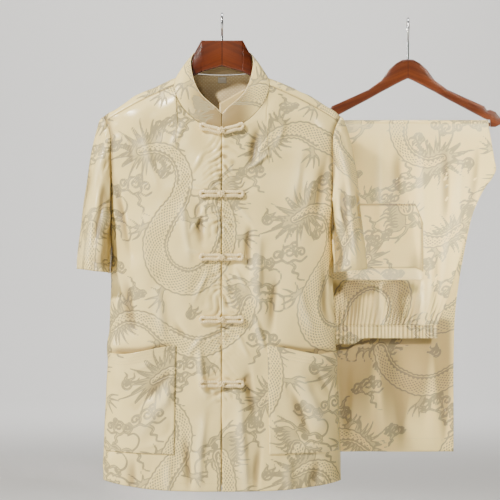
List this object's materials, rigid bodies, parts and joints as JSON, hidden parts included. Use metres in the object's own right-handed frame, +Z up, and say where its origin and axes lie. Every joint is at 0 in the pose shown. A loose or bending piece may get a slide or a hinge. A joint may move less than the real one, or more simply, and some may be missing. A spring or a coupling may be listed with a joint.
{
  "type": "tang suit on hangers",
  "caption": "Short-sleeved jacquard jacket with stand collar, knotted frogs and patch pockets on a wooden hanger, its trousers folded over the bar of a second hanger behind.",
  "frame": {"origin": "the jacket hanger's hook, at the inside top of its bend, where it rests on a rod", "axes": "+Z up, the jacket's front faces -Y, its wearer's left is +X, where the trousers hang"},
  "size_m": [0.801, 0.1979, 0.8854],
  "materials": {
    "jacquard": "cream satin ground with a duller greyish woven design",
    "satin_cord": "shiny ivory satin cord",
    "reddish_wood": "glossy dark red-brown varnish",
    "orange_wood": "satin orange-brown varnish with darker streaks",
    "steel_wire": "bright plated wire",
    "label_tape": "matt woven tape, bare"
  },
  "bodies": {
    "root": {"back_panel": "jacquard", "front_left": "jacquard", "front_right": "jacquard", "sleeve_left": "jacquard", "sleeve_right": "jacquard", "collar": "jacquard", "underlap": "jacquard", "neck_label": "label_tape", "pocket_left": "jacquard", "pocket_right": "jacquard", "frog_1_left": "satin_cord", "frog_1_right": "satin_cord", "frog_1_knot": "satin_cord", "frog_2_left": "satin_cord", "frog_2_right": "satin_cord", "frog_2_knot": "satin_cord", "frog_3_left": "satin_cord", "frog_3_right": "satin_cord", "frog_3_knot": "satin_cord", "frog_4_left": "satin_cord", "frog_4_right": "satin_cord", "frog_4_knot": "satin_cord", "frog_5_left": "satin_cord", "frog_5_right": "satin_cord", "frog_5_knot": "satin_cord", "jacket_hanger_wood": "reddish_wood", "jacket_hanger_hook": "steel_wire", "trouser_leg_outer": "jacquard", "trouser_leg_inner": "jacquard", "trouser_folded_layers": "jacquard", "waistband_outer": "jacquard", "waistband_inner": "jacquard", "trouser_pocket": "jacquard", "trouser_hanger_wood": "orange_wood", "trouser_hanger_bar": "orange_wood", "trouser_hanger_hook": "steel_wire"}
  },
  "joints": []
}
